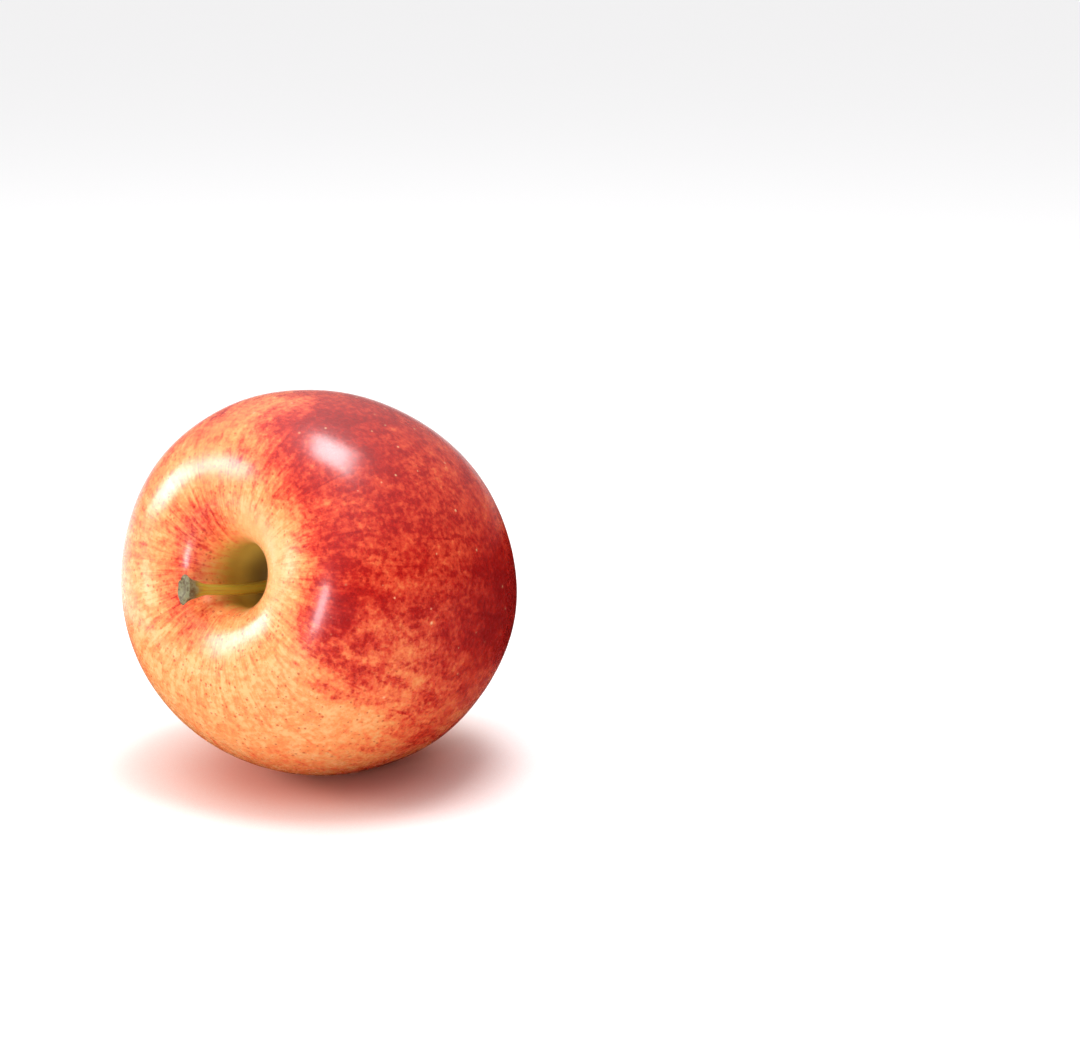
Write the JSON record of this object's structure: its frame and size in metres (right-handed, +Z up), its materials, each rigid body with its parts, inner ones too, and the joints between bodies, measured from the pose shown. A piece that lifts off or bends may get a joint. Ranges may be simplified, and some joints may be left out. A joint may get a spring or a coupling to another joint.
{
  "type": "apple",
  "caption": "Bicolour dessert apple lying on its cheek, with a bent woody stem in its cavity and a dried calyx in its basin.",
  "frame": {"origin": "centre of the small flat spot on the cheek that the fruit rests on", "axes": "+Z up from the resting spot; the core axis lies in the YZ plane, its stem end towards -Y and raised 17 degrees; +X across the fruit"},
  "size_m": [0.072, 0.0687, 0.0731],
  "materials": {
    "skin": "thin waxy skin with a soft gloss, yellow-orange under a red blush with fine streaks and pale dots",
    "stem_wood": "olive-brown woody stalk, matt, with a grey corky end",
    "dried_calyx": "dry brown leaf, matt and slightly downy",
    "dried_stamens": "withered dark brown threads, matt"
  },
  "bodies": {
    "root": {"fruit": "skin", "stem": "stem_wood", "sepal_1": "dried_calyx", "sepal_2": "dried_calyx", "sepal_3": "dried_calyx", "sepal_4": "dried_calyx", "sepal_5": "dried_calyx", "stamen_tuft": "dried_stamens"}
  },
  "joints": []
}
